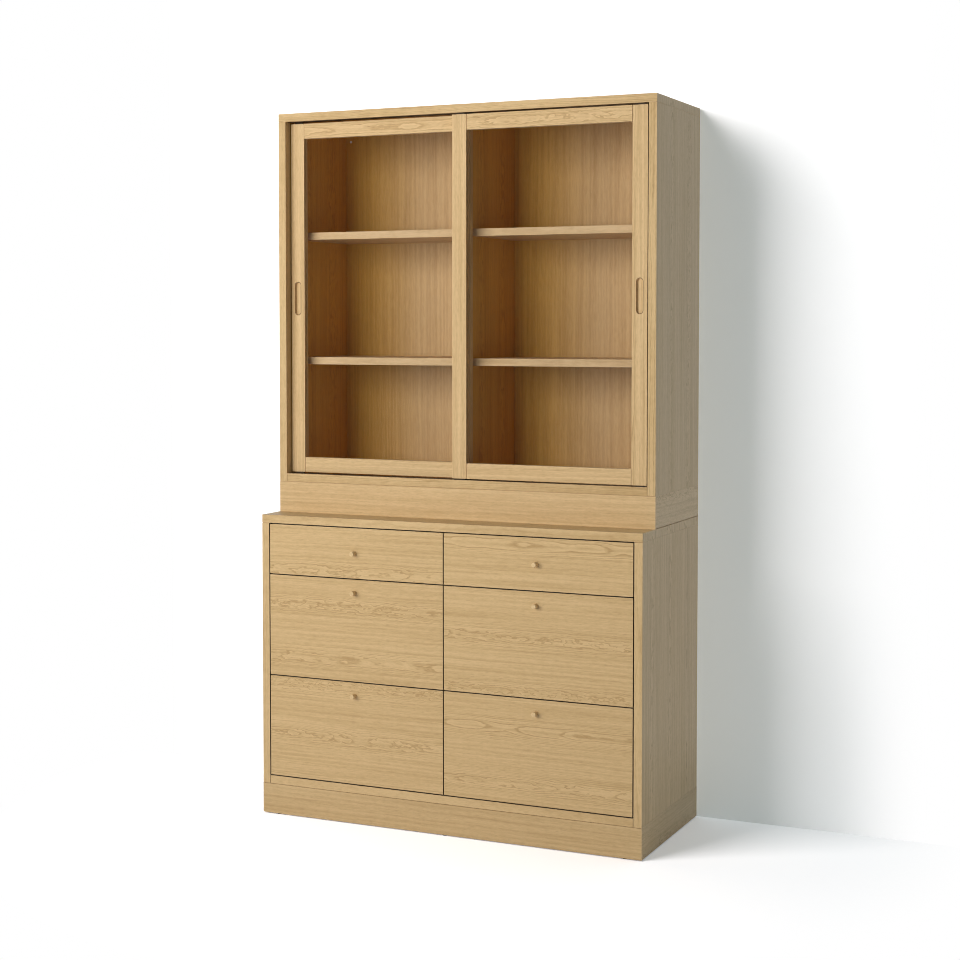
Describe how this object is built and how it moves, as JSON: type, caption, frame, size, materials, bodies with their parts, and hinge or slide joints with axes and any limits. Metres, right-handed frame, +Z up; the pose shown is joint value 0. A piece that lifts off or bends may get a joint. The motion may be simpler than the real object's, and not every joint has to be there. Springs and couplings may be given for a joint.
{
  "type": "glass cabinet",
  "caption": "Tall oak cabinet in two parts: a shallow display unit with framed sliding glass doors and shelves, standing on a deeper chest of flush drawers with small round knobs.",
  "frame": {"origin": "on the floor under the middle of the cabinet, knobs included", "axes": "+Z up, +X to the right and -Y out of the front, towards the person who opens it"},
  "size_m": [1.2, 0.515, 2.1],
  "materials": {
    "oak": "matt clear lacquer",
    "pale_wood": "sanded",
    "clear_glass": "clear float glass",
    "zinc_steel": "zinc plated",
    "nickel_steel": "nickel plated",
    "white_plastic": "moulded nylon",
    "brown_plastic": "extruded",
    "black_plastic": "moulded"
  },
  "bodies": {
    "cabinet": {"joint_dowels": "pale_wood", "chest_feet": "black_plastic", "chest_plinth": "oak", "chest_bottom": "oak", "chest_left_side": "oak", "chest_right_side": "oak", "chest_divider": "oak", "chest_top": "oak", "chest_back": "oak", "chest_runner_rails": "zinc_steel", "shelves": "oak", "shelf_supports": "nickel_steel", "bottom_door_track": "brown_plastic", "top_door_track": "brown_plastic", "anchor_caps": "white_plastic", "upper_base": "oak", "upper_bottom": "oak", "upper_left_side": "oak", "upper_right_side": "oak", "upper_divider": "oak", "upper_top": "oak", "upper_back": "oak"},
    "left_door": {"left_door_stiles": "oak", "left_door_rails": "oak", "left_door_glass": "clear_glass", "left_door_glides": "brown_plastic"},
    "right_door": {"right_door_stiles": "oak", "right_door_rails": "oak", "right_door_glass": "clear_glass", "right_door_glides": "brown_plastic"},
    "left_bottom_drawer": {"left_bottom_drawer_front": "oak", "left_bottom_drawer_box": "pale_wood", "left_bottom_drawer_knob": "oak", "left_bottom_drawer_slides": "zinc_steel"},
    "left_bottom_carriers": {"left_bottom_slide_carriers": "zinc_steel"},
    "left_middle_drawer": {"left_middle_drawer_front": "oak", "left_middle_drawer_box": "pale_wood", "left_middle_drawer_knob": "oak", "left_middle_drawer_slides": "zinc_steel"},
    "left_middle_carriers": {"left_middle_slide_carriers": "zinc_steel"},
    "left_top_drawer": {"left_top_drawer_front": "oak", "left_top_drawer_box": "pale_wood", "left_top_drawer_knob": "oak", "left_top_drawer_slides": "zinc_steel"},
    "left_top_carriers": {"left_top_slide_carriers": "zinc_steel"},
    "right_bottom_drawer": {"right_bottom_drawer_front": "oak", "right_bottom_drawer_box": "pale_wood", "right_bottom_drawer_knob": "oak", "right_bottom_drawer_slides": "zinc_steel"},
    "right_bottom_carriers": {"right_bottom_slide_carriers": "zinc_steel"},
    "right_middle_drawer": {"right_middle_drawer_front": "oak", "right_middle_drawer_box": "pale_wood", "right_middle_drawer_knob": "oak", "right_middle_drawer_slides": "zinc_steel"},
    "right_middle_carriers": {"right_middle_slide_carriers": "zinc_steel"},
    "right_top_drawer": {"right_top_drawer_front": "oak", "right_top_drawer_box": "pale_wood", "right_top_drawer_knob": "oak", "right_top_drawer_slides": "zinc_steel"},
    "right_top_carriers": {"right_top_slide_carriers": "zinc_steel"}
  },
  "joints": [
    {"name": "left_door_slide", "type": "slide", "parent": "cabinet", "child": "left_door", "axis": [1, 0, 0], "range_m": [0, 0.549]},
    {"name": "right_door_slide", "type": "slide", "parent": "cabinet", "child": "right_door", "axis": [-1, 0, 0], "range_m": [0, 0.549]},
    {"name": "left_bottom_drawer_slide", "type": "slide", "parent": "cabinet", "child": "left_bottom_drawer", "axis": [0, -1, 0], "range_m": [0, 0.4]},
    {"name": "left_bottom_carrier_slide", "type": "slide", "parent": "cabinet", "child": "left_bottom_carriers", "axis": [0, -1, 0], "range_m": [0, 0.2]},
    {"name": "left_middle_drawer_slide", "type": "slide", "parent": "cabinet", "child": "left_middle_drawer", "axis": [0, -1, 0], "range_m": [0, 0.4]},
    {"name": "left_middle_carrier_slide", "type": "slide", "parent": "cabinet", "child": "left_middle_carriers", "axis": [0, -1, 0], "range_m": [0, 0.2]},
    {"name": "left_top_drawer_slide", "type": "slide", "parent": "cabinet", "child": "left_top_drawer", "axis": [0, -1, 0], "range_m": [0, 0.4]},
    {"name": "left_top_carrier_slide", "type": "slide", "parent": "cabinet", "child": "left_top_carriers", "axis": [0, -1, 0], "range_m": [0, 0.2]},
    {"name": "right_bottom_drawer_slide", "type": "slide", "parent": "cabinet", "child": "right_bottom_drawer", "axis": [0, -1, 0], "range_m": [0, 0.4]},
    {"name": "right_bottom_carrier_slide", "type": "slide", "parent": "cabinet", "child": "right_bottom_carriers", "axis": [0, -1, 0], "range_m": [0, 0.2]},
    {"name": "right_middle_drawer_slide", "type": "slide", "parent": "cabinet", "child": "right_middle_drawer", "axis": [0, -1, 0], "range_m": [0, 0.4]},
    {"name": "right_middle_carrier_slide", "type": "slide", "parent": "cabinet", "child": "right_middle_carriers", "axis": [0, -1, 0], "range_m": [0, 0.2]},
    {"name": "right_top_drawer_slide", "type": "slide", "parent": "cabinet", "child": "right_top_drawer", "axis": [0, -1, 0], "range_m": [0, 0.4]},
    {"name": "right_top_carrier_slide", "type": "slide", "parent": "cabinet", "child": "right_top_carriers", "axis": [0, -1, 0], "range_m": [0, 0.2]}
  ],
  "couplings": [
    {"joint": "left_bottom_carrier_slide", "follows": "left_bottom_drawer_slide", "ratio": 0.5},
    {"joint": "left_middle_carrier_slide", "follows": "left_middle_drawer_slide", "ratio": 0.5},
    {"joint": "left_top_carrier_slide", "follows": "left_top_drawer_slide", "ratio": 0.5},
    {"joint": "right_bottom_carrier_slide", "follows": "right_bottom_drawer_slide", "ratio": 0.5},
    {"joint": "right_middle_carrier_slide", "follows": "right_middle_drawer_slide", "ratio": 0.5},
    {"joint": "right_top_carrier_slide", "follows": "right_top_drawer_slide", "ratio": 0.5}
  ]
}
